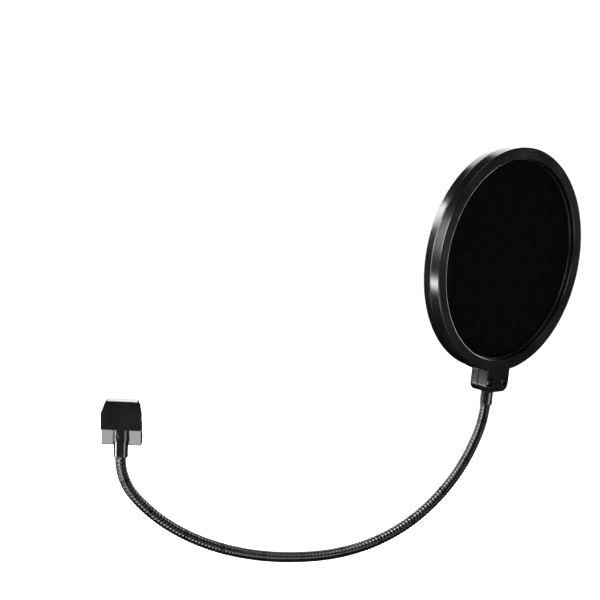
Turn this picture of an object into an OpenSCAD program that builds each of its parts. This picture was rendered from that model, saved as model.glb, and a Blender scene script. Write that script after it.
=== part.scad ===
// Pop filter: a round double-mesh screen on a gooseneck, with a small screw clamp.
// Origin: the middle of the fixed jaw's rubber face. +Y points into the jaw gap, +Z is up.

/* [Screen] */
// Outside diameter of the screen's rim
rim_d = 164; // [150:1:180]
// Diameter of the clear opening inside the lip
opening_d = 146; // [134:1:150]
// Depth of the front ring half, from the seam to the front edge
front_depth = 8.2; // [8:0.1:12]
// Depth of the rear ring half, from the seam to the back edge
rear_depth = 7; // [6:0.5:9]
// Thickness of each mesh layer
mesh_t = 0.5; // [0.3:0.1:0.6]
// Clear distance between the two mesh layers
mesh_gap = 4; // [3.5:0.1:4]
// Turn of the screen about the ferrule, away from the arm's own plane
screen_turn = 120.5; // [90:0.5:150]

/* [Lug] */
// Width of the lug under the rim
lug_w = 26; // [24:1:30]
// Drop of the lug below the rim
lug_drop = 15; // [13:0.5:17]
// Radius of the lug's lower corners
lug_corner_r = 6; // [3:0.5:7]
// Distance between the two lug screws
lug_screw_spacing = 17; // [16:0.5:18]

/* [Gooseneck] */
// Outside diameter of the wound tube
neck_d = 8; // [8:0.1:8.2]
// Diameter of the hollow core of the wound tube
core_d = 4.4; // [3:0.1:4.6]
// Length of one link along the tube
link_length = 29.7; // [28:0.1:32]
// Direction of the arm, turned back from the clamp's width
arm_turn = 15; // [0:1:40]
// Sideways lean of the last link, out of the arm's own plane
last_lean = 3.4; // [0:0.2:6]
// Exposed length of the upper ferrule below the lug
upper_sleeve = 10.9; // [6:0.1:12]
// Exposed length of the lower ferrule below the socket boss
lower_sleeve = 12; // [8:0.5:14]

/* [Clamp] */
// Width of the front jaw block
clamp_w = 28; // [26:1:34]
// Height of the front jaw block above the screw axis
block_top = 17; // [14:1:20]
// Thickness of the front jaw block
block_t = 12; // [11:0.5:14]
// Gap between the two rubber faces
jaw_gap = 10; // [8:0.5:12]
// Distance from the fixed jaw's rubber face to the rear jaw
throat = 20.5; // [20.5:0.5:26]
// Thickness of the rear jaw
rear_jaw_t = 8; // [7:0.5:12]
// Outside diameter of the clamp screw's thread
screw_d = 6; // [5:0.5:6]
// Diameter of the knob
knob_d = 16; // [14:1:24]
// Width of the knob along the screw
knob_t = 9; // [7:0.5:14]

/* [Hidden] */
$fn = 96;

// Small distances that many pieces share
running = 0.05;
eps = 0.01;

// Gooseneck: how far each link bends at rest, in degrees, from the clamp to the screen
link_bends = [40.6, 14.8, 11.8, 10, 8.8, 7.6, 12.1, 13.3, 13.7, 11.8, 13.1, 19.2];
links = len(link_bends);
neck_r = neck_d / 2;
core_r = core_d / 2;
ball_r = neck_r - 0.8;
cup_r = ball_r + running;
stem_r = neck_r - 1.6;
link_gap = 2;
crimp_depth = 10;
crimp_r = neck_r - 0.2;
crimp_core_r = core_r + 0.2;

// Screen section: radii, and heights measured forwards from the seam plane
rim_r = rim_d / 2;
opening_r = opening_d / 2;
seam_z = 0;
face_z = front_depth;
back_z = -rear_depth;
pocket_r = rim_r - 3.4;
spigot_r = rim_r - 1.8;
spigot_h = 2.2;
hoop_in_r = opening_r - 0.8;
hoop_out_r = pocket_r - 0.1;
spacer_in_r = opening_r + 1;
stack_front = 4.25;
hoop_front_h = 1.5;
front_mesh_z = stack_front - hoop_front_h - mesh_t;
spacer_z = front_mesh_z - mesh_gap;
rear_mesh_z = spacer_z - mesh_t;
hoop_rear_h = 1;
stack_back = rear_mesh_z - hoop_rear_h;

// Lug and upper ferrule
lug_end = rim_r + lug_drop;
lug_root_r = rim_r - 1;
lug_face_z = face_z - 0.35;
lug_screw_x = lug_end - 7.5;
upper_r = 4.75;
upper_top = rim_r;
upper_end = lug_end + upper_sleeve;
rib_x = rim_r + 3;
rib_w = 2.2;
rib_depth = 0.95;
screw_seat = 3.2;

// Clamp
front_y = -block_t - 1.5;
block_back_y = -1.5;
block_bottom = -3;
clamp_bottom = -14.8;
floor_top = -7;
socket_y = front_y + 6;
boss_r = 5.8;
boss_end = block_bottom - 8;
spigot_end_r = 3.8;
spigot_len = 18;
lower_r = 5.05;
neck_start_z = boss_end - lower_sleeve;
set_screw_z = -7.6;
set_screw_turn = 20;
set_screw_r = 1.5;
rear_y = throat + rear_jaw_t;
bush_r = 4.5;
bush_flange = 1;
screw_r = screw_d / 2;
foot_r = 6;
foot_pad_t = 1.5;
foot_t = 3;
foot_y = jaw_gap + foot_pad_t;
foot_back_y = foot_y + foot_t;
screw_tip_y = foot_y + 0.2;
closing_travel = jaw_gap - 4;
knob_y = rear_y + bush_flange + closing_travel + 0.2;

// Sum of the first n values of a list
function sum_to(v, n) = n <= 0 ? 0 : v[n - 1] + sum_to(v, n - 1);

// Heading of the gooseneck after n links: 0 points straight down, 90 along the arm, 180 up
function heading(n) = sum_to(link_bends, n);

// Bend radius of link n
function bend_r(n) = link_length * 180 / (PI * link_bends[n]);

// Where link n starts, in the arm's own plane: distance along the arm, and height
function link_start(n) = n == 0 ? [0, 0] : link_start(n - 1) + bend_r(n - 1) * [
    cos(heading(n - 1)) - cos(heading(n)),
    sin(heading(n - 1)) - sin(heading(n))];

// Points of an arc from angle a0 to a1 about a centre
function arc(centre, r, a0, a1, n = 6) = [for (i = [0:n])
    centre + r * [cos(a0 + (a1 - a0) * i / n), sin(a0 + (a1 - a0) * i / n)]];

// Outline with each corner rounded to its own radius: every point is [x, y, radius]
function xy(p) = [p[0], p[1]];
function unit(v) = v / norm(v);
function short_turn(a) = (a + 540) % 360 - 180;
function corner(a, b, c, r) =
    let (u = unit(a - b), v = unit(c - b), half = acos(u * v) / 2)
    let (centre = b + unit(u + v) * r / sin(half), reach = r / tan(half))
    let (s = b + u * reach - centre, e = b + v * reach - centre)
    let (a0 = atan2(s[1], s[0]), turn = short_turn(atan2(e[1], e[0]) - a0))
    arc(centre, r, a0, a0 + turn);
function rounded(pts) = [for (i = [0:len(pts) - 1])
    let (before = pts[(i + len(pts) - 1) % len(pts)], after = pts[(i + 1) % len(pts)])
    each pts[i][2] == 0 ? [xy(pts[i])] : corner(xy(before), xy(pts[i]), xy(after), pts[i][2])];

// Frame at the start of the gooseneck: x runs along the arm, z is up
module arm_frame() {
    translate([0, socket_y, neck_start_z]) rotate([0, 0, arm_turn]) children();
}

// From the last link on, everything leans sideways about that link's ball
module leaning(n) {
    ball = [link_start(links - 1)[0], 0, link_start(links - 1)[1]];
    lean = n < links - 1 ? 0 : last_lean;
    translate(ball)
        rotate([0, -heading(links - 1), 0])
        rotate([-lean, 0, 0])
        rotate([0, heading(links - 1), 0])
        translate(-ball) children();
}

// Frame at the start of link n: z points back along the tube, towards the clamp
module link_frame(n) {
    arm_frame() leaning(n)
        translate([link_start(n)[0], 0, link_start(n)[1]])
        rotate([0, -heading(n), 0]) children();
}

// Frame at the screen's middle on the seam plane: z is the screen's front, x points to the lug
module screen_frame() {
    link_frame(links)
        rotate([180, 0, 0])
        rotate([0, 0, screen_turn])
        translate([0, 0, upper_end])
        rotate([0, 90, 0]) children();
}

// Shaft along x from x0 to x1
module x_shaft(r, x0, x1) {
    translate([x0, 0, 0]) rotate([0, 90, 0]) cylinder(r = r, h = x1 - x0);
}

// Shaft along y from y0 to y1
module y_shaft(r, y0, y1) {
    translate([0, y0, 0]) rotate([-90, 0, 0]) cylinder(r = r, h = y1 - y0);
}

// Plate drawn in x and z and extruded along y
module y_plate(y0, y1) {
    translate([0, y1, 0]) rotate([90, 0, 0]) linear_extrude(y1 - y0) children();
}

// Outline of the lug, from inside the rim to its rounded lower end
module lug_outline(x_in) {
    polygon(rounded([
        [x_in, -lug_w / 2, 0],
        [lug_end, -lug_w / 2, lug_corner_r],
        [lug_end, lug_w / 2, lug_corner_r],
        [x_in, lug_w / 2, 0]]));
}

// One half of the lug between two heights
module lug(z0, z1) {
    difference() {
        translate([0, 0, z0]) linear_extrude(z1 - z0) lug_outline(rim_r - 8);
        translate([0, 0, z0 - 1]) cylinder(r = lug_root_r, h = z1 - z0 + 2);
    }
}

// Round space in the lug that grips the ferrule, with the rib that fills its groove
module ferrule_channel() {
    difference() {
        x_shaft(upper_r + running, upper_top - 0.3, lug_end + 1);
        difference() {
            x_shaft(upper_r + 1, rib_x, rib_x + rib_w);
            x_shaft(upper_r + running - rib_depth, rib_x - 1, rib_x + rib_w + 1);
        }
    }
}

// Places its children at both lug screws
module at_lug_screws() {
    for (side = [-1, 1])
        translate([lug_screw_x, side * lug_screw_spacing / 2, 0]) children();
}

module front_ring() {
    profile = concat(
        [[opening_r, stack_front]],
        arc([opening_r + 0.8, face_z - 1.2], 0.8, 180, 90),
        arc([rim_r - 1, face_z - 1], 1, 90, 10),
        [[rim_r, 0.8], [rim_r - 0.5, seam_z]],
        [[spigot_r + 0.2, seam_z], [spigot_r + 0.2, 1.25]],
        [[spigot_r + 0.45, 1.35], [spigot_r + 0.45, 2.05], [spigot_r + 0.2, 2.15]],
        [[spigot_r + 0.2, spigot_h + 0.2], [pocket_r, spigot_h + 0.2], [pocket_r, stack_front]]);
    color([0.07, 0.07, 0.08]) screen_frame() difference() {
        union() {
            rotate_extrude($fn = 180) polygon(profile);
            lug(seam_z, lug_face_z);
        }
        ferrule_channel();
        at_lug_screws() {
            translate([0, 0, -1]) cylinder(r = 1.65, h = face_z + 2);
            translate([0, 0, lug_face_z - screw_seat]) cylinder(r = 3.1, h = screw_seat + 1);
        }
    }
}

module rear_ring() {
    profile = concat(
        [[opening_r, stack_back]],
        arc([opening_r + 0.75, back_z + 0.75], 0.75, 180, 270),
        arc([rim_r - 1.6, back_z + 1.6], 1.6, 270, 360),
        [[rim_r, -0.5], [rim_r - 0.5, seam_z], [spigot_r, seam_z]],
        [[spigot_r, 1.35], [spigot_r + 0.3, 1.5], [spigot_r + 0.3, 1.9], [spigot_r, 2.05]],
        [[spigot_r, spigot_h], [pocket_r + 0.05, spigot_h], [pocket_r + 0.05, stack_back]]);
    color([0.08, 0.08, 0.09]) screen_frame() difference() {
        union() {
            rotate_extrude($fn = 180) polygon(profile);
            lug(back_z, seam_z);
        }
        ferrule_channel();
        at_lug_screws() translate([0, 0, -5]) cylinder(r = 1.25, h = 6);
    }
}

// Flat disc of mesh with its back face at height z
module mesh_disc(z) {
    screen_frame() translate([0, 0, z]) cylinder(r = hoop_out_r - 0.1, h = mesh_t, $fn = 180);
}

module front_mesh() {
    color([0.03, 0.03, 0.03]) mesh_disc(front_mesh_z);
}

module rear_mesh() {
    color([0.04, 0.04, 0.04]) mesh_disc(rear_mesh_z);
}

// Flat hoop between two radii with its back face at height z
module hoop(r_in, z, h) {
    screen_frame() rotate_extrude($fn = 180) translate([r_in, z]) square([hoop_out_r - r_in, h]);
}

module front_mesh_hoop() {
    color([0.12, 0.12, 0.13]) hoop(hoop_in_r, front_mesh_z + mesh_t, hoop_front_h);
}

module rear_mesh_hoop() {
    color([0.12, 0.12, 0.13]) hoop(hoop_in_r, stack_back, hoop_rear_h);
}

module spacer_hoop() {
    color([0.15, 0.15, 0.16]) hoop(spacer_in_r, spacer_z, mesh_gap);
}

// Cross-head screw pointing down from its seat: domed head, plain shank
module lug_screw() {
    head_r = 2.8;
    head_h = 2.2;
    head = concat([[0, 0], [head_r, 0], [head_r, 0.9]], arc([0.9, 0.3], 1.9, 18, 90), [[0, head_h]]);
    difference() {
        union() {
            rotate_extrude() polygon(head);
            translate([0, 0, -9.4]) cylinder(r = 1.4, h = 9.4 + eps);
        }
        for (turn = [0, 90])
            rotate([0, 0, turn]) translate([-1.5, -0.35, 1]) cube([3, 0.7, 2]);
    }
}

module lug_screws() {
    color("silver") screen_frame() at_lug_screws()
        translate([0, 0, lug_face_z - screw_seat]) lug_screw();
}

module upper_ferrule() {
    groove_r = upper_r - rib_depth;
    color([0.1, 0.1, 0.1]) screen_frame() difference() {
        x_shaft(upper_r, upper_top, upper_end);
        difference() {
            x_shaft(upper_r + 1, rib_x - 0.2, rib_x + rib_w + 0.2);
            x_shaft(groove_r, rib_x - 1, rib_x + rib_w + 1);
        }
        x_shaft(crimp_r, upper_end - crimp_depth, upper_end + 1);
    }
}

// Stretch of tube that follows link n from angle a0 to a1 of its bend
module bent_tube(n, r, a0, a1) {
    arm_frame() leaning(n)
        translate([link_start(n)[0], 0, link_start(n)[1]])
        translate(bend_r(n) * [cos(heading(n)), 0, sin(heading(n))])
        rotate([90, 0, 0])
        rotate([0, 0, heading(n) + 180 + a0])
        rotate_extrude(angle = a1 - a0)
        translate([bend_r(n), 0]) circle(r = r, $fn = 48);
}

// Straight end of the tube that a ferrule is crimped on, along z from the frame's origin
module crimp_end() {
    difference() {
        translate([0, 0, -eps]) cylinder(r = crimp_r, h = crimp_depth + eps);
        translate([0, 0, -1]) cylinder(r = crimp_core_r, h = crimp_depth + 2);
    }
}

// One link: a bent tube with a ball at its clamp end and a cup at its screen end.
// The first link has no ball and the last has no cup: a ferrule is crimped on there.
module link(n) {
    first = n == 0;
    last = n == links - 1;
    bend = link_bends[n];
    gap_angle = first ? 0 : link_gap / bend_r(n) * 180 / PI;
    color([0.1, 0.1, 0.11]) union() {
        difference() {
            union() {
                bent_tube(n, neck_r, gap_angle, bend);
                if (!first) bent_tube(n, stem_r, 0, gap_angle + 1);
                if (!first) link_frame(n) sphere(r = ball_r);
            }
            bent_tube(n, core_r, gap_angle, bend + (last ? 0 : 1));
            if (!last) link_frame(n + 1) sphere(r = cup_r);
        }
        if (first) link_frame(0) crimp_end();
        if (last) link_frame(links) mirror([0, 0, 1]) crimp_end();
    }
}

module lower_ferrule() {
    color([0.1, 0.1, 0.1]) translate([0, socket_y, 0]) difference() {
        union() {
            translate([0, 0, neck_start_z]) cylinder(r = lower_r, h = lower_sleeve);
            translate([0, 0, boss_end - eps]) cylinder(r = spigot_end_r, h = spigot_len);
        }
        translate([0, 0, neck_start_z - 1]) cylinder(r = crimp_r, h = crimp_depth + 1);
    }
}

// Front jaw block: chamfered top corners, flat front and rounded rear corners
module jaw_block() {
    half = clamp_w / 2;
    intersection() {
        y_plate(front_y, block_back_y) polygon(rounded([
            [-half + 0.4, block_bottom, 0],
            [half - 0.4, block_bottom, 0],
            [half, block_top - 9, 4],
            [half - 3.2, block_top, 1.5],
            [-half + 3.2, block_top, 1.5],
            [-half, block_top - 9, 4]]));
        translate([0, 0, block_bottom]) linear_extrude(block_top - block_bottom) polygon(rounded([
            [-half, front_y, 0.6],
            [half, front_y, 0.6],
            [half, block_back_y - 6, 3],
            [half - 5, block_back_y, 3],
            [-half + 5, block_back_y, 3],
            [-half, block_back_y - 6, 3]]));
    }
}

// U-shaped frame: sloping lower wall, floor under the gap and the rear jaw
module clamp_frame() {
    front_half = clamp_w / 2 - 0.4;
    rear_half = 9;
    wall_y = front_y + 4;
    intersection() {
        translate([-clamp_w, 0, 0]) rotate([90, 0, 90]) linear_extrude(2 * clamp_w)
            polygon(rounded([
                [wall_y, 2, 0],
                [wall_y, block_bottom, 0],
                [wall_y + 2.5, clamp_bottom, 1],
                [rear_y, clamp_bottom, 6],
                [rear_y, 9, 3],
                [throat, 9, 2],
                [throat, floor_top, 2],
                [block_back_y, floor_top, 1],
                [block_back_y, 2, 0]]));
        translate([0, 0, clamp_bottom - 1]) linear_extrude(block_top - clamp_bottom)
            polygon(rounded([
                [-front_half, wall_y - 1, 0],
                [front_half, wall_y - 1, 0],
                [front_half, 4, 5],
                [rear_half, 15, 5],
                [rear_half, rear_y, 2],
                [-rear_half, rear_y, 2],
                [-rear_half, 15, 5],
                [-front_half, 4, 5]]));
    }
}

module clamp_body() {
    color([0.06, 0.06, 0.07]) difference() {
        union() {
            jaw_block();
            clamp_frame();
            translate([0, socket_y, boss_end]) cylinder(r = boss_r, h = block_bottom - boss_end + 1);
        }
        translate([0, socket_y, boss_end - 1]) cylinder(r = spigot_end_r, h = spigot_len + 1.5);
        translate([0, socket_y, clamp_bottom - 1])
            cylinder(r = boss_r - 0.2, h = boss_end - clamp_bottom + 1);
        set_screw_frame() y_shaft(set_screw_r, -boss_r - 1, -spigot_end_r + 1);
        y_shaft(bush_r, throat - 1, rear_y + 1);
        jaw_pad_shape(-2.5, -0.5);
    }
}

// Frame of the socket's set screw: y runs along it, through the socket's axis
module set_screw_frame() {
    translate([0, socket_y, set_screw_z]) rotate([0, 0, -set_screw_turn]) children();
}

module socket_set_screw() {
    color([0.25, 0.25, 0.26]) set_screw_frame() difference() {
        y_shaft(set_screw_r, -boss_r + 0.5, -spigot_end_r);
        translate([-1.2, -boss_r, -0.25]) cube([2.4, 1.1, 0.5]);
    }
}

// Block of the rubber pad between two depths
module jaw_pad_shape(y0, y1) {
    y_plate(y0, y1) polygon(rounded([[-8, -6, 2], [8, -6, 2], [8, 6, 2], [-8, 6, 2]]));
}

module jaw_pad() {
    color([0.16, 0.16, 0.16]) jaw_pad_shape(-2.5, 0);
}

module screw_bush() {
    color([0.72, 0.58, 0.3]) difference() {
        union() {
            y_shaft(bush_r, throat, rear_y + eps);
            y_shaft(bush_r + 1.5, rear_y, rear_y + bush_flange);
        }
        y_shaft(screw_r + running, throat - 1, rear_y + bush_flange + 1);
    }
}

module clamp_screw() {
    color("silver") {
        y_shaft(2.3, screw_tip_y, foot_y + 1.4);
        y_shaft(1.9, foot_y + 1.4 - eps, foot_back_y + 0.2 + eps);
        y_shaft(screw_r, foot_back_y + 0.2, knob_y + knob_t - 2);
    }
}

module clamp_knob() {
    knob_r = knob_d / 2;
    lobes = 8;
    color([0.07, 0.07, 0.07]) difference() {
        union() {
            y_shaft(5, knob_y, knob_y + 1.5);
            y_shaft(knob_r, knob_y + 1.5 - eps, knob_y + knob_t);
        }
        for (i = [0:lobes - 1])
            rotate([0, (i + 0.5) * 360 / lobes, 0]) translate([knob_r + 0.9, 0, 0])
                y_shaft(1.9, knob_y + 1, knob_y + knob_t + 1);
        y_shaft(screw_r, knob_y - 1, knob_y + knob_t - 2);
    }
}

module pressure_foot() {
    color([0.55, 0.55, 0.57]) difference() {
        y_shaft(foot_r, foot_y, foot_back_y);
        y_shaft(2.6, foot_y - 1, foot_y + 1.5);
        y_shaft(1.9 + running, foot_y, foot_back_y + 1);
    }
}

module foot_pad() {
    color([0.16, 0.16, 0.16]) y_shaft(foot_r, jaw_gap, foot_y);
}

front_ring();
rear_ring();
front_mesh();
rear_mesh();
front_mesh_hoop();
rear_mesh_hoop();
spacer_hoop();
lug_screws();
upper_ferrule();
link(11);  // neck_link_12
link(10);  // neck_link_11
link(9);  // neck_link_10
link(8);  // neck_link_09
link(7);  // neck_link_08
link(6);  // neck_link_07
link(5);  // neck_link_06
link(4);  // neck_link_05
link(3);  // neck_link_04
link(2);  // neck_link_03
link(1);  // neck_link_02
link(0);  // neck_link_01
lower_ferrule();
clamp_body();
socket_set_screw();
jaw_pad();
screw_bush();
clamp_screw();
clamp_knob();
pressure_foot();
foot_pad();
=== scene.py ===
"""Looks of the pop filter: a double-mesh screen on a wound gooseneck with a small screw clamp.

Lengths are in millimetres and are multiplied by MM where a mesh is made. Only the lights, the
camera and the names that end in _M are in metres. The shared frame has its origin at the middle of
the fixed jaw's rubber face, with +Y into the jaw gap and +Z up.
"""
from math import acos, atan2, cos, degrees, pi, radians, sin, sqrt, tan

import bmesh
import bpy
from mathutils import Matrix, Vector


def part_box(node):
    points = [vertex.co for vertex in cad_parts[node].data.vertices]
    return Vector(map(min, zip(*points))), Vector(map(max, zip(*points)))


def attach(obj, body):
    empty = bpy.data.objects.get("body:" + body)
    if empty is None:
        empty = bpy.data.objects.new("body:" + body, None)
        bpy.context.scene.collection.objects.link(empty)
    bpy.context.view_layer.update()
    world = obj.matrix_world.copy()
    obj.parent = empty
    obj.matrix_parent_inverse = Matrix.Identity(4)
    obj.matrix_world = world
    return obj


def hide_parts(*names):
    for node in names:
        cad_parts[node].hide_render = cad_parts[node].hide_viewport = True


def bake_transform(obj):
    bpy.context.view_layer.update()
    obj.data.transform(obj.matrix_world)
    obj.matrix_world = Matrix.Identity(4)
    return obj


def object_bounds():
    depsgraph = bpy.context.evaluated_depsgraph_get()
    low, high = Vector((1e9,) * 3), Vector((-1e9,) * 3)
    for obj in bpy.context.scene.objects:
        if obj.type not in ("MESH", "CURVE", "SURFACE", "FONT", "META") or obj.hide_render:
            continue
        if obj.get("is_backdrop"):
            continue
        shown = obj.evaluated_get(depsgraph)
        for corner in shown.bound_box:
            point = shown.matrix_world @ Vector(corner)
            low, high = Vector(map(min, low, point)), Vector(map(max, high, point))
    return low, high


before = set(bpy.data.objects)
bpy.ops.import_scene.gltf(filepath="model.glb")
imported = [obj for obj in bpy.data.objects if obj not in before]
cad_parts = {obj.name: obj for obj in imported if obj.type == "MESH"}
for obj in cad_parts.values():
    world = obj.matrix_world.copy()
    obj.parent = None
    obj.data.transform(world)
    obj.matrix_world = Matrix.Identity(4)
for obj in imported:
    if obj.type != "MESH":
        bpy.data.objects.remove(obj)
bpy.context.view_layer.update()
MM = 0.001

# Screen section: radii, and heights measured forwards from the seam plane
RIM_R = 82.0
OPENING_R = 73.0
POCKET_R = 78.6
SPIGOT_R = 80.2
FACE_Z = 8.15
BACK_Z = -7.0
MESH_R = 78.4
MESH_T = 0.35
MESH_RIPPLE = 0.05
MESH_FLAT_M = 2 * MESH_R * MM
MESH_THREAD_PITCH = 1.1
SEAM_HALF_GAP = 0.05
HOOP_OUT_R = 78.5
SPIGOT_TOP = 2.2
FRONT_SEAT_Z = 4.3
REAR_SEAT_Z = -3.25
LUG_HALF_W = 13.0
LUG_END = 97.0
LUG_CORNER_R = 6.0
LUG_SCREW_X = 89.5
LUG_SCREW_Y = 8.5
LUG_SEAT_Z = 4.65
CHANNEL_CLEAR = 0.05
UPPER_R = 4.75
UPPER_TOP = 82.0
UPPER_END = 107.9
SCREEN_TURN = 120.5

# Gooseneck: rest bends of its links in degrees, from the clamp to the screen
LINK_BENDS = [40.6, 14.8, 11.8, 10, 8.8, 7.6, 12.1, 13.3, 13.7, 11.8, 13.1, 19.2]
LINK_LENGTH = 29.7
ARM_TURN = 15.0
LAST_LEAN = 3.4
NECK_R = 4.0
WIRE_PITCH = 2.6
WIRE_R = 2.2
ROWS_PER_TURN = 12
NECK_COLUMNS = 26
NECK_HIDDEN = 6.0
LEAN_RUN = 16.0

# Ferrules: what both sleeves share
FERRULE_BORE_R = 2.2
FERRULE_DEPTH = 9.5
FERRULE_ROUND = 0.9
FERRULE_GRIP = 0.15

# Clamp
REAR_Y = 28.5
THROAT = 20.5
SET_SCREW_Z = -7.6
BOSS_END = -11.0
LOWER_R = 5.05
JAW_GAP = 10.0
BUSH_R = 4.5
BUSH_FLANGE_R = 6.0
BUSH_BORE_R = 3.05
FOOT_R = 6.0
ROD_R = 2.95
ROD_PITCH = 1.0
ROD_THREAD_START = 14.7
ROD_THREAD_END = 42.6
KNOB_Y = 35.7
KNOB_R = 8.0
KNOB_LENGTH = 9.0
KNOB_LOBES = 8


# ---------------------------------------------------------------- outlines and meshes

def arc(cx, cy, r, a0, a1, n=8):
    """Points of an arc about (cx, cy) from angle a0 to a1, in degrees."""
    return [(cx + r * cos(radians(a0 + (a1 - a0) * i / n)),
             cy + r * sin(radians(a0 + (a1 - a0) * i / n))) for i in range(n + 1)]


def rounded(points, n=8):
    """Closed outline from (x, y, corner radius) points."""
    out = []
    for i, (x, y, r) in enumerate(points):
        if r <= 0:
            out.append((x, y))
            continue
        ax, ay = points[i - 1][:2]
        cx, cy = points[(i + 1) % len(points)][:2]
        u, v = Vector((ax - x, ay - y)).normalized(), Vector((cx - x, cy - y)).normalized()
        half = acos(max(-1, min(1, u.dot(v)))) / 2
        centre = Vector((x, y)) + (u + v).normalized() * r / sin(half)
        start = Vector((x, y)) + u * r / tan(half) - centre
        end = Vector((x, y)) + v * r / tan(half) - centre
        a0 = atan2(start.y, start.x)
        sweep = (atan2(end.y, end.x) - a0 + 3 * pi) % (2 * pi) - pi
        out += [(centre.x + r * cos(a0 + sweep * k / n), centre.y + r * sin(a0 + sweep * k / n))
                for k in range(n + 1)]
    return out


def mesh_object(name, verts, faces, where=Matrix()):
    """New mesh object from points in millimetres, placed by a matrix in metres."""
    mesh = bpy.data.meshes.new(name)
    mesh.from_pydata([(x * MM, y * MM, z * MM) for x, y, z in verts], [], faces)
    obj = bpy.data.objects.new(name, mesh)
    bpy.context.scene.collection.objects.link(obj)
    obj.matrix_world = where
    face_out(obj)
    return obj


def face_out(obj):
    """Drops doubled points and turns every face of a closed mesh outwards."""
    bm = bmesh.new()
    bm.from_mesh(obj.data)
    bmesh.ops.remove_doubles(bm, verts=bm.verts, dist=1e-7)
    bmesh.ops.recalc_face_normals(bm, faces=bm.faces)
    bm.to_mesh(obj.data)
    bm.free()


def close_skin(mesh):
    """Drops unused points, fills the open ends and turns every face outwards."""
    bm = bmesh.new()
    bm.from_mesh(mesh)
    bmesh.ops.delete(bm, geom=[v for v in bm.verts if not v.link_faces], context="VERTS")
    bmesh.ops.holes_fill(bm, edges=[e for e in bm.edges if e.is_boundary], sides=0)
    bmesh.ops.recalc_face_normals(bm, faces=bm.faces)
    bm.to_mesh(mesh)
    bm.free()


def smooth(obj, angle):
    """Smooth shading that keeps edges sharper than the angle."""
    obj.data.shade_smooth()
    obj.data.set_sharp_from_angle(angle=radians(angle))


def loft(name, rings, where=Matrix(), closed=False):
    """Skin over rings of points of equal length; capped at both ends, or joined end to start."""
    n = len(rings[0])
    verts = [p for ring in rings for p in ring]
    faces = []
    for i in range(len(rings) if closed else len(rings) - 1):
        a, b = i * n, ((i + 1) % len(rings)) * n
        faces += [(a + j, a + (j + 1) % n, b + (j + 1) % n, b + j) for j in range(n)]
    if not closed:
        faces += [tuple(range(n)), tuple(range((len(rings) - 1) * n, len(rings) * n))]
    return mesh_object(name, verts, faces, where)


def lathe(name, profile, where=Matrix(), segments=96, closed=True):
    """Surface turned about z from (radius, height) points. Open profiles are capped at their ends."""
    rings = [[(r * cos(2 * pi * k / segments), r * sin(2 * pi * k / segments), z)
              for k in range(segments)] for r, z in profile]
    return loft(name, rings, where, closed)


def prism(name, outline, z0, z1, edge=0.0, where=Matrix(), steps=4):
    """Plate with the given outline between two heights, with rounded edges at both faces."""
    n = len(outline)
    area = sum(outline[i][0] * outline[(i + 1) % n][1] - outline[(i + 1) % n][0] * outline[i][1]
               for i in range(n))
    side = 1 if area > 0 else -1
    normals = []
    for i in range(n):
        before = Vector(outline[i]) - Vector(outline[i - 1])
        after = Vector(outline[(i + 1) % n]) - Vector(outline[i])
        t = (before.normalized() + after.normalized()).normalized()
        cosine = max(0.5, t.dot(before.normalized()))
        normals.append(Vector((t.y, -t.x)) * side / cosine)
    levels = []
    for k in range(steps + 1 if edge else 1):
        a = pi / 2 * k / steps
        levels.append((edge * (1 - sin(a)), z0 + edge * (1 - cos(a))))
    levels += [(inset, z1 - (z - z0)) for inset, z in reversed(levels)]
    rings = [[(x - nx * inset, y - ny * inset, z)
              for (x, y), (nx, ny) in zip(outline, normals)] for inset, z in levels]
    return loft(name, rings, where)


def applied(obj):
    """Replaces the object's mesh by its evaluated one and clears its modifiers."""
    bpy.context.view_layer.update()
    dg = bpy.context.evaluated_depsgraph_get()
    old = obj.data
    obj.data = bpy.data.meshes.new_from_object(obj.evaluated_get(dg))
    obj.modifiers.clear()
    bpy.data.meshes.remove(old)
    return obj


def combine(obj, others, operation):
    """Exact boolean of the object with the others, which are removed."""
    for other in others:
        m = obj.modifiers.new("combine", "BOOLEAN")
        m.operation, m.object, m.solver = operation, other, "EXACT"
    applied(obj)
    for other in others:
        bpy.data.objects.remove(other)
    face_out(obj)
    return obj


def join(name, objs):
    """One object, in the first one's frame, from several."""
    bm = bmesh.new()
    home = objs[0].matrix_world.inverted()
    for o in objs:
        part = o.data.copy()
        part.transform(home @ o.matrix_world)
        bm.from_mesh(part)
        bpy.data.meshes.remove(part)
    made = objs[0]
    bm.to_mesh(made.data)
    bm.free()
    for o in objs[1:]:
        bpy.data.objects.remove(o)
    made.name = made.data.name = name
    return made


def cylinder(name, r, z0, z1, where=Matrix(), segments=48):
    """Plain round cutter."""
    return lathe(name, [(r, z0), (r, z1)], where, segments, closed=False)


def turn(angle, axis):
    return Matrix.Rotation(radians(angle), 4, axis)


def shift(x, y, z):
    return Matrix.Translation((x * MM, y * MM, z * MM))


# ---------------------------------------------------------------- frames

low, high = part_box("lower_ferrule")
SOCKET_Y = (low.y + high.y) / 2 / MM
NECK_START_Z = low.z / MM


def heading(n):
    """Heading of the gooseneck after n links: 0 points straight down, 90 along the arm."""
    return radians(sum(LINK_BENDS[:n]))


def bend_r(n):
    return LINK_LENGTH / radians(LINK_BENDS[n])


def link_start(n):
    x = z = 0.0
    for k in range(n):
        x += bend_r(k) * (cos(heading(k)) - cos(heading(k + 1)))
        z += bend_r(k) * (sin(heading(k)) - sin(heading(k + 1)))
    return x, z


ARM = shift(0, SOCKET_Y, NECK_START_Z) @ turn(ARM_TURN, "Z")
BALL_X, BALL_Z = link_start(len(LINK_BENDS) - 1)
END_X, END_Z = link_start(len(LINK_BENDS))


def leaning(angle):
    """Sideways lean of the last link about its ball, in the arm frame."""
    back = degrees(heading(len(LINK_BENDS) - 1))
    return (shift(BALL_X, 0, BALL_Z) @ turn(-back, "Y") @ turn(-angle, "X") @ turn(back, "Y")
            @ shift(-BALL_X, 0, -BALL_Z))


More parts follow.
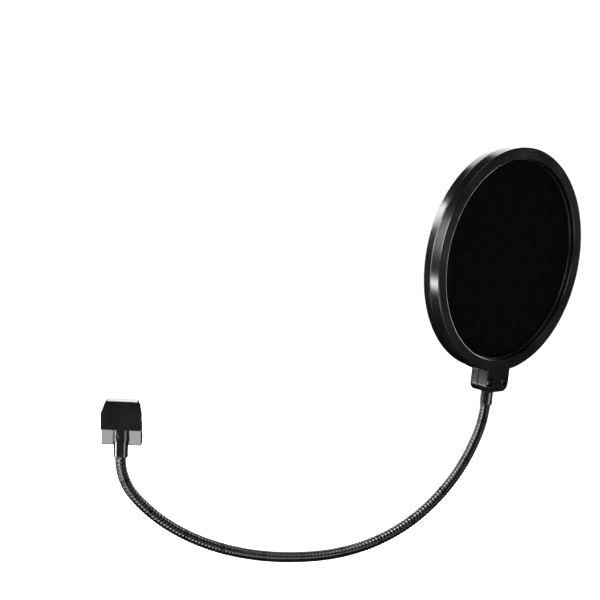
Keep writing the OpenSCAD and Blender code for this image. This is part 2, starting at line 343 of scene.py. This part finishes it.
def to_shared(point):
    """A point of the arm frame in the shared frame, both in millimetres."""
    return ARM @ (point * MM) / MM


SCREEN = (ARM @ leaning(LAST_LEAN) @ shift(END_X, 0, END_Z)
          @ turn(-degrees(heading(len(LINK_BENDS))), "Y") @ turn(180, "X")
          @ turn(SCREEN_TURN, "Z") @ shift(0, 0, UPPER_END) @ turn(90, "Y"))
SLEEVE_AXIS = SCREEN @ turn(90, "Y")
JAW_AXIS = turn(-90, "X")


# ---------------------------------------------------------------- materials

DRIFT_SCALE = 60.0
BLOTCH_SCALE = 27.0


def new_material(name):
    m = bpy.data.materials.new(name)
    m.use_nodes = True
    nodes, links = m.node_tree.nodes, m.node_tree.links
    return m, nodes, links, nodes["Principled BSDF"]


def coords(nodes, kind="Object"):
    return nodes.new("ShaderNodeTexCoord").outputs[kind]


def noise(nodes, links, source, scale, detail=4.0, rough=0.55):
    n = nodes.new("ShaderNodeTexNoise")
    n.inputs["Scale"].default_value = scale
    n.inputs["Detail"].default_value = detail
    n.inputs["Roughness"].default_value = rough
    links.new(source, n.inputs["Vector"])
    return n.outputs["Fac"]


def spread(nodes, links, value, out_low, out_high, in_low=0.3, in_high=0.7):
    r = nodes.new("ShaderNodeMapRange")
    r.inputs["From Min"].default_value, r.inputs["From Max"].default_value = in_low, in_high
    r.inputs["To Min"].default_value, r.inputs["To Max"].default_value = out_low, out_high
    links.new(value, r.inputs["Value"])
    return r.outputs["Result"]


def blend_colours(nodes, links, factor, a, b):
    mix = nodes.new("ShaderNodeMix")
    mix.data_type = "RGBA"
    mix.inputs["A"].default_value, mix.inputs["B"].default_value = (*a, 1), (*b, 1)
    links.new(factor, mix.inputs["Factor"])
    return mix.outputs["Result"]


def bump(nodes, links, height, distance):
    b = nodes.new("ShaderNodeBump")
    b.inputs["Distance"].default_value = distance
    b.inputs["Strength"].default_value = 1.0
    links.new(height, b.inputs["Height"])
    return b.outputs["Normal"]


def finish_material(name, dark, light, rough, grain_scale, grain_mm, metallic=0.0, specular=0.5):
    """Solid finish: colour drifts between two tones, roughness varies and a fine grain is raised."""
    m, nodes, links, bsdf = new_material(name)
    where = coords(nodes)
    tone = noise(nodes, links, where, DRIFT_SCALE)
    fine = noise(nodes, links, where, grain_scale, 6.0)
    links.new(blend_colours(nodes, links, spread(nodes, links, tone, 0, 1), dark, light),
              bsdf.inputs["Base Color"])
    blotch = noise(nodes, links, where, BLOTCH_SCALE, 3.0)
    links.new(spread(nodes, links, blotch, *rough), bsdf.inputs["Roughness"])
    links.new(bump(nodes, links, fine, grain_mm * MM), bsdf.inputs["Normal"])
    bsdf.inputs["Metallic"].default_value = metallic
    bsdf.inputs["Specular IOR Level"].default_value = specular
    return m


def mesh_material(name, tone):
    """Stretched knitted mesh: two crossing thread directions, dark between the threads."""
    m, nodes, links, bsdf = new_material(name)
    flat = nodes.new("ShaderNodeMapping")
    flat.inputs["Scale"].default_value = (MESH_FLAT_M,) * 3
    links.new(coords(nodes, "UV"), flat.inputs["Vector"])
    where = flat.outputs["Vector"]
    weave = []
    for angle in (38, -52):
        turned = nodes.new("ShaderNodeMapping")
        turned.inputs["Rotation"].default_value = (0, 0, radians(angle))
        links.new(where, turned.inputs["Vector"])
        wave = nodes.new("ShaderNodeTexWave")
        wave.wave_type, wave.bands_direction, wave.wave_profile = "BANDS", "X", "SIN"
        # at scale 1 the bands repeat every 2 pi / 20 metres
        wave.inputs["Scale"].default_value = 2 * pi / (20 * MESH_THREAD_PITCH * MM)
        wave.inputs["Distortion"].default_value = 0.6
        wave.inputs["Detail"].default_value = 1.0
        wave.inputs["Detail Scale"].default_value = 0.3
        links.new(turned.outputs["Vector"], wave.inputs["Vector"])
        weave.append(wave.outputs["Fac"])
    top = nodes.new("ShaderNodeMath")
    top.operation = "MAXIMUM"
    links.new(weave[0], top.inputs[0])
    links.new(weave[1], top.inputs[1])
    cloud = noise(nodes, links, where, 110.0, 3.0, 0.6)
    grain = noise(nodes, links, where, 1100.0, 3.0, 0.7)
    shade = top.outputs[0]
    for part in (spread(nodes, links, cloud, 0.45, 1.0), spread(nodes, links, grain, 0.1, 1.0)):
        both = nodes.new("ShaderNodeMath")
        both.operation = "MULTIPLY"
        links.new(shade, both.inputs[0])
        links.new(part, both.inputs[1])
        shade = both.outputs[0]
    links.new(blend_colours(nodes, links, shade, (0.0002,) * 3, tone), bsdf.inputs["Base Color"])
    links.new(spread(nodes, links, top.outputs[0], 0.9, 0.62, 0, 1), bsdf.inputs["Roughness"])
    links.new(bump(nodes, links, top.outputs[0], 0.12 * MM), bsdf.inputs["Normal"])
    bsdf.inputs["Specular IOR Level"].default_value = 0.0
    return m


def wound_material(name):
    """Lacquered wire: near-black and glossy, with faint streaks round the tube and a fine grain."""
    m, nodes, links, bsdf = new_material(name)
    flat = coords(nodes, "UV")
    streak = noise(nodes, links, flat, 9.0, 4.0)
    fine = noise(nodes, links, flat, 60.0, 3.0)
    links.new(blend_colours(nodes, links, spread(nodes, links, streak, 0, 1),
                            (0.001, 0.001, 0.001), (0.003, 0.003, 0.003)), bsdf.inputs["Base Color"])
    links.new(spread(nodes, links, streak, 0.07, 0.14), bsdf.inputs["Roughness"])
    links.new(bump(nodes, links, fine, 0.008 * MM), bsdf.inputs["Normal"])
    bsdf.inputs["Specular IOR Level"].default_value = 0.6
    return m


MATERIALS = {
    "ring_plastic": finish_material("ring_plastic", (0.001,) * 3, (0.002,) * 3, (0.17, 0.25),
                                    900.0, 0.006, specular=0.5),
    "hoop_plastic": finish_material("hoop_plastic", (0.0025,) * 3, (0.005,) * 3, (0.25, 0.35),
                                    900.0, 0.008, specular=0.5),
    "mesh_fabric": mesh_material("mesh_fabric", (0.0045, 0.0045, 0.0045)),
    "neck_steel": wound_material("neck_steel"),
    "ferrule_steel": finish_material("ferrule_steel", (0.002,) * 3, (0.005,) * 3, (0.1, 0.16),
                                     500.0, 0.006, specular=0.6),
    "clamp_plastic": finish_material("clamp_plastic", (0.0015,) * 3, (0.003,) * 3, (0.14, 0.2),
                                     1400.0, 0.006, specular=0.5),
    "knob_plastic": finish_material("knob_plastic", (0.008,) * 3, (0.015,) * 3, (0.4, 0.55),
                                    1200.0, 0.03, specular=0.45),
    "pad_rubber": finish_material("pad_rubber", (0.02,) * 3, (0.035,) * 3, (0.65, 0.85),
                                  1600.0, 0.04, specular=0.3),
    "screw_steel": finish_material("screw_steel", (0.34, 0.34, 0.345), (0.5, 0.5, 0.5),
                                   (0.22, 0.38), 800.0, 0.01, metallic=1.0),
    "dark_steel": finish_material("dark_steel", (0.012,) * 3, (0.025,) * 3, (0.3, 0.45), 800.0, 0.01,
                                  metallic=0.6),
    "rod_steel": finish_material("rod_steel", (0.5, 0.5, 0.5), (0.66, 0.66, 0.66), (0.18, 0.34),
                                 700.0, 0.01, metallic=1.0),
    "bush_brass": finish_material("bush_brass", (0.5, 0.33, 0.13), (0.66, 0.46, 0.2), (0.2, 0.34),
                                  700.0, 0.01, metallic=1.0),
}


def dress(obj, body, slot, *nodes, angle=30, shown=None):
    """Finishes a rigid piece: shading, material, its body, and the CAD nodes it stands for."""
    smooth(obj, angle)
    m = obj.modifiers.new("normals", "WEIGHTED_NORMAL")
    m.keep_sharp = True
    applied(obj)
    # the points go into the shared frame, so that the piece's box is its true extent
    obj.data.transform(obj.matrix_world)
    obj.matrix_world = Matrix()
    obj.data.materials.clear()
    obj.data.materials.append(MATERIALS[shown or slot])
    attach(obj, body)
    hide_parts(*nodes)


# ---------------------------------------------------------------- screen

def lug_plate(name, z0, z1, edge):
    """One half of the lug, from inside the rim to its rounded end."""
    outline = rounded([(POCKET_R - 0.5, -LUG_HALF_W, 0), (LUG_END, -LUG_HALF_W, LUG_CORNER_R),
                       (LUG_END, LUG_HALF_W, LUG_CORNER_R), (POCKET_R - 0.5, LUG_HALF_W, 0)], 12)
    return prism(name, outline, z0, z1, edge, SCREEN)


def trim_inside(name, r):
    """Round cutter that keeps the lug out of the pocket for the meshes."""
    return cylinder(name, r, -20, 20, SCREEN, 256)


def sleeve_channel():
    """Cutter for the ferrule's channel in the lug, flared at the lug's end."""
    r = UPPER_R + CHANNEL_CLEAR
    profile = [(r, UPPER_TOP - 0.2), (r, LUG_END - 0.6), (r + 0.6, LUG_END + 0.4)]
    return lathe("channel", profile, SLEEVE_AXIS, 48, closed=False)


def counterbore(side):
    """Cutter for one lug screw's hole and its recessed head."""
    head_r = 3.1
    profile = [(1.65, -1), (1.65, LUG_SEAT_Z), (head_r, LUG_SEAT_Z + 0.01), (head_r, FACE_Z - 0.35),
               (head_r + 0.35, FACE_Z + 0.02), (head_r + 0.35, FACE_Z + 1)]
    at = SCREEN @ shift(LUG_SCREW_X, side * LUG_SCREW_Y, 0)
    return lathe("counterbore", profile, at, 48, closed=False)


def front_half():
    """Front shell: rounded lip, rebate for the rear shell's spigot, and half of the lug."""
    lip = arc(OPENING_R + 0.75, FACE_Z - 1.1, 0.75, 180, 95, 8)
    corner = arc(RIM_R - 1.3, FACE_Z - 0.8, 0.8, 88, 6, 8)
    seam_edge = arc(RIM_R - 0.9, 1.1, 0.9, 0, -62, 8)
    rebate_r = SPIGOT_R + 0.2
    profile = ([(OPENING_R, FRONT_SEAT_Z)] + lip + corner + seam_edge
               + [(RIM_R - 0.6, SEAM_HALF_GAP), (rebate_r, SEAM_HALF_GAP), (rebate_r, SPIGOT_TOP + 0.1),
                  (POCKET_R, SPIGOT_TOP + 0.2), (POCKET_R, FRONT_SEAT_Z)])
    ring = lathe("front_shell", profile, SCREEN, 288)
    lug = combine(lug_plate("front_lug", SEAM_HALF_GAP, FACE_Z, 0.55),
                  [trim_inside("inside", SPIGOT_R + 0.6)], "DIFFERENCE")
    ring = combine(ring, [lug], "UNION")
    combine(ring, [sleeve_channel(), counterbore(-1), counterbore(1)], "DIFFERENCE")
    dress(ring, "screen", "ring_plastic", "front_ring", angle=28)


def rear_half():
    """Rear shell: rounded back, spigot that fits inside the front shell, and half of the lug."""
    lip = arc(OPENING_R + 0.75, BACK_Z + 0.75, 0.75, 180, 270, 8)
    corner = arc(RIM_R - 2.6, BACK_Z + 1.6, 1.6, 270, 350, 12)
    seam_edge = arc(RIM_R - 0.7, -0.35, 0.2, 0, 80, 4)
    pocket_r = POCKET_R + 0.05
    profile = (lip + corner + seam_edge
               + [(RIM_R - 0.7, -SEAM_HALF_GAP), (SPIGOT_R, -SEAM_HALF_GAP), (SPIGOT_R, SPIGOT_TOP),
                  (pocket_r, SPIGOT_TOP), (pocket_r, REAR_SEAT_Z), (OPENING_R, REAR_SEAT_Z)])
    ring = lathe("rear_shell", profile, SCREEN, 288)
    lug = combine(lug_plate("rear_lug", BACK_Z, -SEAM_HALF_GAP, 0.9), [trim_inside("inside", POCKET_R + 1)],
                  "DIFFERENCE")
    ring = combine(ring, [lug], "UNION")
    combine(ring, [sleeve_channel()], "DIFFERENCE")
    dress(ring, "screen", "ring_plastic", "rear_ring", angle=28)


def mesh_sheet(name, node, z):
    """Stretched disc of mesh, thin, with the faint ripple that knitted cloth keeps."""
    rings, n = [], 120
    for k in range(1, 31):
        r = MESH_R * k / 30
        height = MESH_RIPPLE * (1 - (r / MESH_R) ** 4) * (r / MESH_R)
        rings.append([(r * cos(2 * pi * j / n), r * sin(2 * pi * j / n),
                       z + height * sin(5 * j * 2 * pi / n + r / 9)) for j in range(n)])
    top = [[(x, y, h + MESH_T) for x, y, h in ring] for ring in rings]
    sheet = loft(name, rings + top[::-1], SCREEN)
    layer = sheet.data.uv_layers.new(name="flat")
    for loop in sheet.data.loops:
        x, y, _ = sheet.data.vertices[loop.vertex_index].co / MESH_FLAT_M
        layer.data[loop.index].uv = (x + 0.5, y + 0.5)
    dress(sheet, "screen", "mesh_fabric", node, angle=40)


def hoop(name, node, r_in, z0, z1, edge):
    """Flat hoop that grips or parts the meshes, between two heights."""
    outline = rounded([(r_in, z0, edge), (HOOP_OUT_R, z0, 0.15), (HOOP_OUT_R, z1, 0.15),
                       (r_in, z1, edge)], 6)
    dress(lathe(name, outline, SCREEN, 288), "screen", "hoop_plastic", node)


def lug_screws():
    """Two recessed pan-head screws with a cross recess."""
    made = []
    for side in (-1, 1):
        at = SCREEN @ shift(LUG_SCREW_X, side * LUG_SCREW_Y, LUG_SEAT_Z)
        head = ([(1.35, -9.2), (1.35, -0.05), (2.75, 0.0), (2.8, 0.08), (2.8, 0.85)]
                + arc(1.2, 0.7, 1.6, 15, 88, 8) + [(0.4, 2.32)])
        screw = lathe("screw", head, at, 48, closed=False)
        bars = []
        for angle in (20, 110):
            outline = [(-1.55, -0.3), (1.55, -0.3), (1.55, 0.3), (-1.55, 0.3)]
            bars.append(prism("bar", outline, 1.0, 3.0, 0, at @ turn(angle, "Z")))
        made.append(combine(screw, bars, "DIFFERENCE"))
    dress(join("lug_screw_pair", made), "screen", "screw_steel", "lug_screws", angle=35)


def upper_ferrule():
    """Sleeve with the ring groove that the lug holds, and the socket for the tube at its end."""
    groove_r, groove_start, groove_end = UPPER_R - 0.95, UPPER_TOP + 2.8, UPPER_TOP + 5.4
    socket_r = NECK_R - FERRULE_GRIP
    profile = ([(FERRULE_BORE_R, UPPER_TOP), (UPPER_R - 0.4, UPPER_TOP), (UPPER_R, UPPER_TOP + 0.4),
                (UPPER_R, groove_start), (groove_r, groove_start), (groove_r, groove_end),
                (UPPER_R, groove_end), (UPPER_R, UPPER_END - 1.5)]
               + arc(UPPER_R - FERRULE_ROUND, UPPER_END - FERRULE_ROUND, FERRULE_ROUND, 0, 90, 6)
               + [(socket_r, UPPER_END), (socket_r, UPPER_END - FERRULE_DEPTH),
                  (FERRULE_BORE_R, UPPER_END - FERRULE_DEPTH)])
    dress(lathe("upper_sleeve", profile, SLEEVE_AXIS, 96), "neck_12", "ferrule_steel",
          "upper_ferrule")


# ---------------------------------------------------------------- gooseneck

def neck_point(s):
    """Centre and tangent of the gooseneck at length s from the lower ferrule, in the arm frame."""
    centre, tangent = flat_point(s)
    share = min(1.0, max(0.0, (s - (len(LINK_BENDS) - 1) * LINK_LENGTH) / LEAN_RUN + 0.5))
    lean = leaning(LAST_LEAN * share * share * (3 - 2 * share))
    return lean @ (centre * MM) / MM, lean.to_3x3() @ tangent


def flat_point(s):
    """The same before the last link leans out of the arm's plane."""
    n = len(LINK_BENDS)
    if s <= 0:
        return Vector((0, 0, -s)), Vector((0, 0, -1))
    k = min(int(s / LINK_LENGTH), n - 1)
    a0 = heading(k)
    if s >= n * LINK_LENGTH:
        a, over = heading(n), s - n * LINK_LENGTH
        x, z = link_start(n)
        return Vector((x + over * sin(a), 0, z - over * cos(a))), Vector((sin(a), 0, -cos(a)))
    a = a0 + radians(LINK_BENDS[k]) * (s - k * LINK_LENGTH) / LINK_LENGTH
    x, z = link_start(k)
    return (Vector((x + bend_r(k) * (cos(a0) - cos(a)), 0, z + bend_r(k) * (sin(a0) - sin(a)))),
            Vector((sin(a), 0, -cos(a))))


def crest(phase):
    """Radius of the wound surface at a share of one turn, with the groove at 0."""
    across = (phase - 0.5) * WIRE_PITCH
    return NECK_R - WIRE_R + sqrt(max(0.0, WIRE_R ** 2 - across ** 2))


def wound_piece(name, row0, row1):
    """Closed length of wound tube between two rows of the winding."""
    side = Vector((0, 1, 0))
    rows, n = [], NECK_COLUMNS
    for i in range(row0, row1 + 1):
        for j in range(n):
            s = -NECK_HIDDEN + (i / ROWS_PER_TURN + j / n) * WIRE_PITCH
            centre, t = neck_point(s)
            out = side.cross(t).normalized()
            a = 2 * pi * j / n
            p = centre + (out * cos(a) + side * sin(a)) * crest((i % ROWS_PER_TURN) / ROWS_PER_TURN)
            rows.append((p, s, j / n))
    count = row1 - row0 + 1
    faces, uvs = [], []
    for i in range(count - 1):
        for j in range(n):
            a, b = i * n + j, i * n + j + 1
            if j == n - 1:  # the seam climbs one turn of the wire
                if i + ROWS_PER_TURN + 1 >= count:
                    continue
                b = (i + ROWS_PER_TURN) * n
            quad = (a, a + n, b + n, b)
            faces.append(quad)
            uvs.append([(rows[v][2] + (1 if j == n - 1 and v in (b, b + n) else 0),
                         rows[v][1] / (2 * pi * NECK_R)) for v in quad])
    mesh = bpy.data.meshes.new(name)
    mesh.from_pydata([to_shared(p) * MM for p, _, _ in rows], [], faces)
    layer = mesh.uv_layers.new(name="winding")
    for poly, quad_uv in zip(mesh.polygons, uvs):
        for loop, uv in zip(poly.loop_indices, quad_uv):
            layer.data[loop].uv = uv
    close_skin(mesh)
    obj = bpy.data.objects.new(name, mesh)
    bpy.context.scene.collection.objects.link(obj)
    obj.data.materials.append(MATERIALS["neck_steel"])
    return obj


def gooseneck():
    """Thirteen lengths that meet in the middle of each link; the first follows the clamp, the last follows
    the twelfth link, and the ones between stay where they are made.
    """
    n = len(LINK_BENDS)
    total = n * LINK_LENGTH + 2 * NECK_HIDDEN
    rows = int(total / WIRE_PITCH * ROWS_PER_TURN)
    cuts = [0] + [round((NECK_HIDDEN + (k + 0.5) * LINK_LENGTH) / WIRE_PITCH) * ROWS_PER_TURN
                  - ROWS_PER_TURN // 2 for k in range(n)] + [rows]
    for k in range(n + 1):
        # each length starts where the one before it ends; its seam needs one turn more
        obj = wound_piece(f"neck_winding_{k:02d}", cuts[k], cuts[k + 1] + (ROWS_PER_TURN if k < n else 0))
        if k == 0:
            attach(obj, "clamp")
        elif k == n:
            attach(obj, f"neck_{n:02d}")
        else:
            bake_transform(obj)
        smooth(obj, 80)
        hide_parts(f"neck_link_{min(k + 1, n):02d}")


def lower_ferrule():
    """Sleeve below the boss with a fine turned line, and the thinner stem that fills the socket."""
    z = NECK_START_Z
    socket_r, line_r = NECK_R - FERRULE_GRIP, LOWER_R - 0.18
    stem_r, stem_top = 3.8, 7.0
    profile = ([(socket_r, z + FERRULE_DEPTH), (socket_r, z)]
               + arc(LOWER_R - FERRULE_ROUND, z + FERRULE_ROUND, FERRULE_ROUND, -90, 0, 6)
               + [(LOWER_R, z + 3.2), (line_r, z + 3.4), (line_r, z + 4.0), (LOWER_R, z + 4.2),
                  (LOWER_R, BOSS_END - 0.35), (LOWER_R - 0.35, BOSS_END), (stem_r, BOSS_END),
                  (stem_r, stem_top - 0.4), (stem_r - 0.4, stem_top), (FERRULE_BORE_R, stem_top),
                  (FERRULE_BORE_R, z + FERRULE_DEPTH)])
    dress(lathe("lower_sleeve", profile, shift(0, SOCKET_Y, 0), 96), "clamp", "ferrule_steel",
          "lower_ferrule")


# ---------------------------------------------------------------- clamp

def clamp_body():
    """The moulded clamp, made from the CAD solid.

    Known fault: the bevel has no measurable effect, so the edges stay sharp.
    """
    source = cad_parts["clamp_body"]
    bm = bmesh.new()
    bm.from_mesh(source.data)
    bmesh.ops.remove_doubles(bm, verts=bm.verts, dist=2e-6)
    bmesh.ops.dissolve_limit(bm, angle_limit=radians(1.0), verts=bm.verts, edges=bm.edges)
    mesh = bpy.data.meshes.new("clamp_moulding")
    bm.to_mesh(mesh)
    bm.free()
    obj = bpy.data.objects.new("clamp_moulding", mesh)
    bpy.context.scene.collection.objects.link(obj)
    m = obj.modifiers.new("edges", "BEVEL")
    m.limit_method, m.angle_limit = "ANGLE", radians(32)
    m.width, m.segments = 0.45 * MM, 3
    m.use_clamp_overlap = True
    applied(obj)
    dress(obj, "clamp", "clamp_plastic", "clamp_body", angle=35)


def jaw_pad():
    """Rubber pad with shallow grip grooves across its face."""
    outline = rounded([(-8, -6, 2), (8, -6, 2), (8, 6, 2), (-8, 6, 2)], 6)
    pad = prism("jaw_grip", outline, -2.5, 0.0, 0.3, JAW_AXIS)
    grooves = [prism("groove", [(-9, -0.35 + h), (9, -0.35 + h), (9, 0.35 + h), (-9, 0.35 + h)],
                     -0.45, 1.0, 0, JAW_AXIS) for h in (-4, -2, 0, 2, 4)]
    dress(combine(pad, grooves, "DIFFERENCE"), "clamp", "pad_rubber", "jaw_pad")


def set_screw():
    """Slotted grub screw sunk in the boss, in darker steel than the other screws."""
    at = shift(0, SOCKET_Y, SET_SCREW_Z) @ turn(-20, "Z") @ turn(-90, "X")
    screw = lathe("screw", [(1.45, -3.85), (1.45, -5.1), (1.2, -5.3)], at, 32, closed=False)
    bar = prism("bar", [(-2, -0.25), (2, -0.25), (2, 0.25), (-2, 0.25)], -6, -4.4, 0, at)
    dress(combine(screw, [bar], "DIFFERENCE"), "clamp", "screw_steel", "socket_set_screw",
          shown="dark_steel")


def threaded_rod():
    """M6 clamp screw: smooth tip and neck, then a cut thread that ends inside the knob."""
    depth, steps, n = 0.5, 6, 32
    verts, faces = [], []
    rows = int((ROD_THREAD_END - ROD_THREAD_START - ROD_PITCH) / ROD_PITCH * steps)
    for i in range(rows + 1):
        for j in range(n):
            y = ROD_THREAD_START + (i / steps + j / n) * ROD_PITCH
            phase = (i % steps) / steps
            r = ROD_R - depth * abs(2 * phase - 1) ** 1.3
            a = 2 * pi * j / n
            verts.append((r * cos(a), r * sin(a), y))
    for i in range(rows):
        for j in range(n):
            a, b = i * n + j, i * n + j + 1
            if j == n - 1:
                if i + steps + 1 > rows:
                    continue
                b = (i + steps) * n
            faces.append((a, a + n, b + n, b))
    rod = mesh_object("thread", verts, faces, JAW_AXIS)
    close_skin(rod.data)
    tip = lathe("tip", [(2.0, 11.7), (2.3, 12.0), (2.3, 12.9), (1.9, 12.95), (1.9, 14.6), (2.6, 14.75),
                        (2.6, 16.2)], JAW_AXIS, 48, closed=False)
    dress(join("clamp_rod", [rod, tip]), "screw", "rod_steel", "clamp_screw", angle=60)


def bush():
    """Brass bush pressed through the rear jaw, with its flange behind it."""
    flange_y = REAR_Y + 1
    profile = [(BUSH_BORE_R, THROAT + 0.3), (BUSH_BORE_R + 0.3, THROAT), (BUSH_R - 0.2, THROAT),
               (BUSH_R, THROAT + 0.2), (BUSH_R, REAR_Y), (BUSH_FLANGE_R - 0.2, REAR_Y),
               (BUSH_FLANGE_R, REAR_Y + 0.2), (BUSH_FLANGE_R, flange_y - 0.2),
               (BUSH_FLANGE_R - 0.2, flange_y), (BUSH_BORE_R + 0.3, flange_y),
               (BUSH_BORE_R, flange_y - 0.3)]
    dress(lathe("brass_bush", profile, JAW_AXIS, 96), "clamp", "bush_brass", "screw_bush")


def knob():
    """Round knob with eight finger scallops, rounded at both faces.

    Known fault: the union with the collar comes out empty, so the knob doesn't show.
    """
    n, scallop_half, scallop_depth = 192, 1.9, 1.0
    outline = []
    for k in range(n):
        a = 2 * pi * k / n
        near = ((a * KNOB_LOBES / (2 * pi)) % 1 - 0.5) * 2 * pi / KNOB_LOBES
        r = KNOB_R - scallop_depth * max(0.0, 1 - (near * KNOB_R / scallop_half) ** 2) ** 2
        outline.append((r * cos(a), r * sin(a)))
    end_y = KNOB_Y + KNOB_LENGTH
    grip = prism("grip", outline, KNOB_Y + 1.5, end_y, 1.0, JAW_AXIS, 6)
    collar = lathe("collar", [(2.9, KNOB_Y), (4.8, KNOB_Y), (5.0, KNOB_Y + 0.2), (5.0, KNOB_Y + 2)],
                   JAW_AXIS, 64, closed=False)
    combine(grip, [collar], "UNION")
    dish = lathe("dish", [(5.4, end_y - 0.6), (5.8, end_y + 0.5)], JAW_AXIS, 64, closed=False)
    bore = cylinder("bore", ROD_R, KNOB_Y - 1, end_y - 2, JAW_AXIS)
    combine(grip, [dish, bore], "DIFFERENCE")
    grip.name = "grip_knob"
    dress(grip, "screw", "knob_plastic", "clamp_knob", angle=35)


def foot():
    """Cup that the screw's tip turns in, and its rubber face with three ring grooves."""
    pad_back, cup_back = JAW_GAP + 1.5, JAW_GAP + 4.5
    profile = [(2.6, pad_back), (FOOT_R - 0.25, pad_back), (FOOT_R, pad_back + 0.25),
               (FOOT_R, cup_back - 0.4), (FOOT_R - 0.4, cup_back), (1.95, cup_back),
               (1.95, cup_back - 1.5), (2.6, cup_back - 1.5)]
    dress(lathe("swivel_foot", profile, JAW_AXIS, 96), "foot", "rod_steel", "pressure_foot")
    pad = [(FOOT_R - 0.4, JAW_GAP), (FOOT_R, JAW_GAP + 0.4), (FOOT_R, pad_back)]
    grip = lathe("foot_grip", pad, JAW_AXIS, 96, closed=False)
    rings = [lathe("ring", [(r, JAW_GAP - 1), (r, JAW_GAP + 0.3), (r + 0.6, JAW_GAP + 0.3),
                            (r + 0.6, JAW_GAP - 1)], JAW_AXIS, 64) for r in (1.6, 3.2, 4.6)]
    dress(combine(grip, rings, "DIFFERENCE"), "foot", "pad_rubber", "foot_pad")


# ---------------------------------------------------------------- build

front_half()
rear_half()
hoop("spacer_hoop_turned", "spacer_hoop", OPENING_R + 1, -1.72, 2.22, 0.3)
hoop("front_hoop_turned", "front_mesh_hoop", OPENING_R - 0.8, 2.75, 4.25, 0.5)
hoop("rear_hoop_turned", "rear_mesh_hoop", OPENING_R - 0.8, -3.25, -2.25, 0.35)
mesh_sheet("mesh_front", "front_mesh", 2.32)
mesh_sheet("mesh_rear", "rear_mesh", -2.17)
lug_screws()
upper_ferrule()
gooseneck()
lower_ferrule()
clamp_body()
jaw_pad()
set_screw()
threaded_rod()
bush()
knob()
foot()


# ---------------------------------------------------------------- stage, lights and camera

def stage():
    """Pale paper floor, a little below the part and wide enough to have no visible edge."""
    drop, half = 110, 12000
    m, nodes, links, bsdf = new_material("floor_paper")
    shade = noise(nodes, links, coords(nodes), 3.0, 2.0)
    links.new(blend_colours(nodes, links, shade, (0.86,) * 3, (0.88,) * 3), bsdf.inputs["Base Color"])
    bsdf.inputs["Roughness"].default_value = 0.9
    bsdf.inputs["Specular IOR Level"].default_value = 0.1
    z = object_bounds()[0].z / MM - drop
    corners = [(-half, -half, z), (half, -half, z), (half, half, z), (-half, half, z)]
    floor = mesh_object("floor", corners, [(0, 1, 2, 3)])
    floor.data.materials.append(m)
    floor.visible_glossy = False
    floor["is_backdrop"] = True


def panel(name, at, to, width, height, power):
    """Soft rectangular light at a place, aimed at a point, in metres. The camera doesn't see it."""
    data = bpy.data.lights.new(name, "AREA")
    data.shape, data.size, data.size_y, data.energy = "RECTANGLE", width, height, power
    lamp = bpy.data.objects.new(name, data)
    bpy.context.scene.collection.objects.link(lamp)
    lamp.location = at
    lamp.rotation_euler = (Vector(to) - Vector(at)).to_track_quat("-Z", "Y").to_euler()
    lamp.visible_camera = False
    return lamp


def lights():
    """White surround that glossy surfaces don't mirror, and the panels that draw the highlights."""
    world = bpy.data.worlds.new("studio")
    bpy.context.scene.world = world
    world.use_nodes = True
    background = world.node_tree.nodes["Background"]
    background.inputs["Color"].default_value = (1, 1, 1, 1)
    background.inputs["Strength"].default_value = 1.25
    world.cycles_visibility.glossy = False
    disc, clamp = (0.265, 0.055, 0.120), (0.0, -0.01, 0.0)
    neck = (0.12, 0.05, -0.05)
    panel("left_back", (-1.02, 0.40, 0.85), disc, 0.35, 0.45, 9)
    panel("left_low", (-0.46, -0.10, -0.165), disc, 0.2, 0.11, 1.6)
    panel("back_left", (-0.75, 0.88, 0.30), disc, 0.25, 1.1, 13)
    panel("back", (0.25, 1.5, 0.9), disc, 1.1, 1.3, 16)
    panel("right_back", (1.16, 0.72, 0.15), disc, 0.35, 0.8, 12)
    panel("key", (-0.63, -0.64, 0.47), neck, 0.7, 0.7, 36)
    panel("top", (0.40, -0.25, 1.25), disc, 0.9, 0.7, 4)
    panel("right_low", (0.62, -0.27, -0.14), neck, 0.35, 0.18, 0.8)
    panel("low", (-0.03, -0.205, -0.175), clamp, 0.3, 0.1, 0.9)


def camera():
    data = bpy.data.cameras.new("camera")
    data.lens, data.sensor_width = 85.0, 36.0
    cam = bpy.data.objects.new("camera", data)
    bpy.context.scene.collection.objects.link(cam)
    target = Vector((0.11873, 0.050, 0.08468))
    elevation, roll, distance = radians(6.5), radians(2.5), 1.02071
    back = Vector((0, -cos(elevation), sin(elevation)))
    right = Vector((1, 0, 0))
    up = back.cross(right)
    x_axis = right * cos(roll) + up * sin(roll)
    y_axis = back.cross(x_axis)
    turned = Matrix((x_axis, y_axis, back)).transposed().to_4x4()
    cam.matrix_world = Matrix.Translation(target + back * distance) @ turned
    bpy.context.scene.camera = cam


stage()
lights()
camera()
bpy.context.scene.view_settings.view_transform = "Standard"
